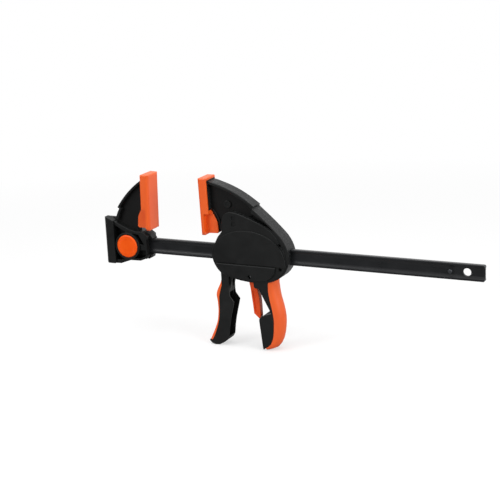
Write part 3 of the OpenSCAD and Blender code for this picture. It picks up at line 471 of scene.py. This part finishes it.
add(winding, "NodeGroupOutput", inputs={"Geometry": wired})

# Each spring rides on its body and is wound to fill its part's box along its
# axis (0 is X and 1 is Y). The joint, the fixed end and the share of its
# length that the joint leaves are listed but not used.
wire_radius = 0.00045
for node, joint, body, axis, fixed_end, keep, turns in (
        ("jaw_lock_spring", "button_press", "bar_assembly", 1, 0.0148, 0.41, 3.5),
        ("drive_spring", "plates_slide", "head", 0, -0.05595, 0.87, 8.0),
        ("brake_spring", "brake_tilt", "head", 0, -0.02575, 0.93, 6.0)):
    low, high = (Vector(corner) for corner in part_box(node))
    across = 1 - axis
    centre = (low + high) / 2
    centre[axis] = low[axis] + wire_radius
    coil = grown(node + "_wound", winding, {
        "Turns": turns, "Coil Radius": (high[across] - low[across]) / 2 - wire_radius,
        "Length": high[axis] - low[axis] - 2 * wire_radius, "Wire Radius": wire_radius,
        "Start": tuple(centre), "Turn": (-math.pi / 2, 0, 0) if axis == 1 else (0, math.pi / 2, 0),
        "Wire": spring_wire})
    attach(coil, body)
    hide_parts(node)
    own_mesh(coil)


# ---------------------------------------------------------------- black mouldings
# The fixed jaw, the two housing halves, the trigger and the spring's cover are
# injection-moulded glass-filled nylon with a spark-eroded grain, eased edges
# and a parting line where the halves meet.

# Glass-filled nylon: deep black that greys at a glancing angle, with faint flow
# marks, 19 to 500 mm. Its grain of about 0.3 mm is drawn coarser, 17 to 20 mm,
# so that it shows. The head's outer rims, where they face up or to the rear,
# have a bark grain of 2.5 mm. The webs sunk between the rims get a painted
# shade, a darker colour for the shade that falls in those recesses.
filled_nylon = {}
for name, bark_share in (("fine", 0.0), ("barked", 1.0)):
    filled_nylon[name], tree = new_finish("glass_filled_nylon_moulded_black_" + name)
    spot = add(tree, "ShaderNodeTexCoord").outputs["Object"]
    grain = add(tree, "ShaderNodeTexNoise", inputs={
        "Vector": spot, "Scale": 17 / 0.02, "Detail": 4.0, "Roughness": 0.6})
    bark = add(tree, "ShaderNodeTexNoise", inputs={
        "Vector": spot, "Scale": 1 / 0.0025, "Detail": 2.0, "Roughness": 0.7})
    flow = add(tree, "ShaderNodeTexNoise", inputs={
        "Vector": spot, "Scale": 19 / 0.5, "Detail": 3.0, "Distortion": 0.8})

    # A rim is a face that looks away from Y, and a web lies within about 6 mm of
    # the middle plane.
    facing = add(tree, "ShaderNodeSeparateXYZ", inputs={
        0: add(tree, "ShaderNodeNewGeometry").outputs["True Normal"]})
    sideways = add(tree, "ShaderNodeMath", {"operation": "ABSOLUTE"}, {0: facing.outputs["Y"]})
    rim = add(tree, "ShaderNodeMapRange", inputs={"Value": sideways, "From Min": 0.5, "From Max": 0.2})
    rearward = add(tree, "ShaderNodeMapRange", inputs={
        "Value": facing.outputs["X"], "From Min": -0.1, "From Max": 0.1, "To Max": bark_share})
    rear_rim = add(tree, "ShaderNodeMath", {"operation": "MULTIPLY"}, {0: rim, 1: rearward})
    rough_rim = add(tree, "ShaderNodeMath", {"operation": "MULTIPLY"}, {0: bark, 1: rear_rim})
    off_middle = add(tree, "ShaderNodeMath", {"operation": "ABSOLUTE"}, {
        0: add(tree, "ShaderNodeSeparateXYZ", inputs={0: spot}).outputs["Y"]})
    web = add(tree, "ShaderNodeMapRange", inputs={
        "Value": off_middle, "From Min": 0.0062, "From Max": 0.0052})
    # Painted shade: the webs, where they are no rim, are darkened as if in the shade of their recess.
    painted_web_shade = add(tree, "ShaderNodeMath", {"operation": "SUBTRACT"}, {0: web, 1: rim})
    painted_web_shade = add(tree, "ShaderNodeMath", {"operation": "MAXIMUM"}, {0: painted_web_shade, 1: 0.0})

    tone = add(tree, "ShaderNodeValToRGB", {"stops": ((0.3, "#0e0f0f"), (0.7, "#161717"))}, {"Fac": flow})
    scuffed = add(tree, "ShaderNodeMapRange", inputs={"Value": rough_rim, "From Min": 0.5, "From Max": 0.68})
    barked = add(tree, "ShaderNodeMix", {"data_type": "RGBA"}, {0: scuffed, 6: tone, 7: linear("#303132")})
    # The painted shade turns the webs this near-black colour.
    colour = add(tree, "ShaderNodeMix", {"data_type": "RGBA"}, {
        0: painted_web_shade, 6: barked.outputs[2], 7: linear("#090909")})
    matt = add(tree, "ShaderNodeMapRange", inputs={
        "Value": flow, "From Min": 0.3, "From Max": 0.7, "To Min": 0.42, "To Max": 0.52})
    eroded = add(tree, "ShaderNodeBump", inputs={"Height": grain, "Strength": 0.5, "Distance": 0.00008})
    bumped = add(tree, "ShaderNodeBump", inputs={
        "Height": rough_rim, "Strength": 0.7, "Distance": 0.0006, "Normal": eroded})
    nylon = add(tree, "ShaderNodeBsdfPrincipled", inputs={
        "Base Color": colour.outputs[2], "Roughness": matt, "Normal": bumped, "IOR": 1.5,
        "Specular IOR Level": 0.2})
    add(tree, "ShaderNodeOutputMaterial", inputs={"Surface": nylon})

eased("fixed_jaw", "bar_assembly", filled_nylon["fine"], radius=0.0006)
eased("jaw_spring_cap", "bar_assembly", filled_nylon["fine"], radius=0.0004)
eased("housing_front", "head", filled_nylon["barked"], radius=0.0009)
eased("housing_back", "head", filled_nylon["barked"], radius=0.0009)
eased("trigger", "trigger", filled_nylon["fine"], radius=0.0005)


# ---------------------------------------------------------------- orange mouldings
# The caps and the trigger's strip are soft vinyl, the palm grip is softer
# rubber moulded over the handle's core, and the button and the release lever
# are hard polypropylene.

# Soft vinyl: saturated orange with a dull, slightly waxy face. Its skin is
# drawn with a grain, six to 10 mm, that is coarser than the real one so that
# it shows, and the colour has clouds, three to 100 mm.
soft_vinyl, tree = new_finish("soft_vinyl_moulded_orange")
spot = add(tree, "ShaderNodeTexCoord").outputs["Object"]
skin = add(tree, "ShaderNodeTexNoise", inputs={"Vector": spot, "Scale": 6 / 0.01, "Detail": 3.0})
cast = add(tree, "ShaderNodeTexNoise", inputs={"Vector": spot, "Scale": 3 / 0.1, "Detail": 2.0})
tone = add(tree, "ShaderNodeValToRGB", {"stops": ((0.3, "#f05a12"), (0.7, "#f4631c"))}, {"Fac": cast})
dull = add(tree, "ShaderNodeBump", inputs={"Height": skin, "Strength": 0.3, "Distance": 0.00005})
vinyl = add(tree, "ShaderNodeBsdfPrincipled", inputs={
    "Base Color": tone, "Roughness": 0.42, "Normal": dull, "IOR": 1.48, "Specular IOR Level": 0.6})
add(tree, "ShaderNodeOutputMaterial", inputs={"Surface": vinyl})

# Overmoulded rubber: a redder orange, matt, with a faint pebble, 13 to 20 mm,
# and colour clouds, 13 to 500 mm.
grip_rubber, tree = new_finish("overmoulded_grip_rubber_orange")
spot = add(tree, "ShaderNodeTexCoord").outputs["Object"]
pebble = add(tree, "ShaderNodeTexVoronoi", inputs={"Vector": spot, "Scale": 13 / 0.02})
cast = add(tree, "ShaderNodeTexNoise", inputs={"Vector": spot, "Scale": 13 / 0.5, "Detail": 2.0})
tone = add(tree, "ShaderNodeValToRGB", {"stops": ((0.3, "#ea5a1a"), (0.7, "#f16321"))}, {"Fac": cast})
pebbled = add(tree, "ShaderNodeBump", inputs={"Height": pebble, "Strength": 0.2, "Distance": 0.00006})
rubber = add(tree, "ShaderNodeBsdfPrincipled", inputs={
    "Base Color": tone, "Roughness": 0.48, "Normal": pebbled, "IOR": 1.5})
add(tree, "ShaderNodeOutputMaterial", inputs={"Surface": rubber})

# Polypropylene: a clean orange with a soft gloss that has clouds, six to
# 100 mm. The button is brighter, and the release lever is a shade redder, with
# a skin that the fingers have dulled.
moulded = {}
for name, deep, light, roughness, shine in (("button", "#f75206", "#ff600c", 0.34, 0.25),
                                            ("lever", "#e4480c", "#ee5418", 0.4, 0.35)):
    moulded[name], tree = new_finish("polypropylene_moulded_orange_" + name)
    spot = add(tree, "ShaderNodeTexCoord").outputs["Object"]
    cast = add(tree, "ShaderNodeTexNoise", inputs={"Vector": spot, "Scale": 6 / 0.1, "Detail": 3.0})
    tone = add(tree, "ShaderNodeValToRGB", {"stops": ((0.3, deep), (0.7, light))}, {"Fac": cast})
    gloss = add(tree, "ShaderNodeMapRange", inputs={
        "Value": cast, "From Min": 0.3, "From Max": 0.7,
        "To Min": roughness - 0.05, "To Max": roughness + 0.05})
    poly = add(tree, "ShaderNodeBsdfPrincipled", inputs={
        "Base Color": tone, "Roughness": gloss, "IOR": 1.49, "Specular IOR Level": shine})
    add(tree, "ShaderNodeOutputMaterial", inputs={"Surface": poly})

eased("fixed_jaw_pad", "bar_assembly", soft_vinyl, radius=0.002, segments=4)
eased("moving_jaw_pad", "head", soft_vinyl, radius=0.002, segments=4)
eased("grip_overmold", "head", grip_rubber, radius=0, angle=50)
eased("trigger_grip", "trigger", soft_vinyl, radius=0, angle=50)
eased("jaw_button", "lock_button", moulded["button"], radius=0.0003)
eased("release_lever", "release", moulded["lever"], radius=0.0006)

# Short moulded ribs stand in a ring round the middle of the button, where the
# thumb presses. Each is a smooth grain with a little over half of it sunk into
# the face.
ribbing, given = recipe("thumb_ribs", ("Count", "Int"), ("Ring Radius", "Float"), ("Rib", "Vector"),
                        ("Centre", "Vector"), ("Plastic", "Material"))
spots = add(ribbing, "GeometryNodeMeshCircle", inputs={
    "Vertices": given["Count"], "Radius": given["Ring Radius"]})
outward = add(ribbing, "FunctionNodeAlignRotationToVector", {"axis": "X"}, {
    "Vector": add(ribbing, "GeometryNodeInputPosition")})
rib = add(ribbing, "GeometryNodeMeshUVSphere", inputs={"Segments": 10, "Rings": 6, "Radius": 1.0})
ribs = add(ribbing, "GeometryNodeInstanceOnPoints", inputs={
    "Points": spots, "Instance": rib, "Rotation": outward, "Scale": given["Rib"]})
put = add(ribbing, "GeometryNodeTransform", inputs={
    "Geometry": ribs, "Translation": given["Centre"], "Rotation": (math.pi / 2, 0, 0)})
real = add(ribbing, "GeometryNodeRealizeInstances", inputs={"Geometry": put})
smoothed = add(ribbing, "GeometryNodeSetShadeSmooth", inputs={"Geometry": real})
coloured = add(ribbing, "GeometryNodeSetMaterial", inputs={
    "Geometry": smoothed, "Material": given["Plastic"]})
add(ribbing, "NodeGroupOutput", inputs={"Geometry": coloured})
low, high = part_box("jaw_button")
below_face = 0.00005
thumb_ribs = grown("thumb_ribs", ribbing, {
    "Count": 36, "Ring Radius": 0.0123, "Rib": (0.0021, 0.00045, 0.00032), "Plastic": moulded["button"],
    "Centre": ((low[0] + high[0]) / 2, low[1] + below_face, (low[2] + high[2]) / 2)})
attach(thumb_ribs, "lock_button")
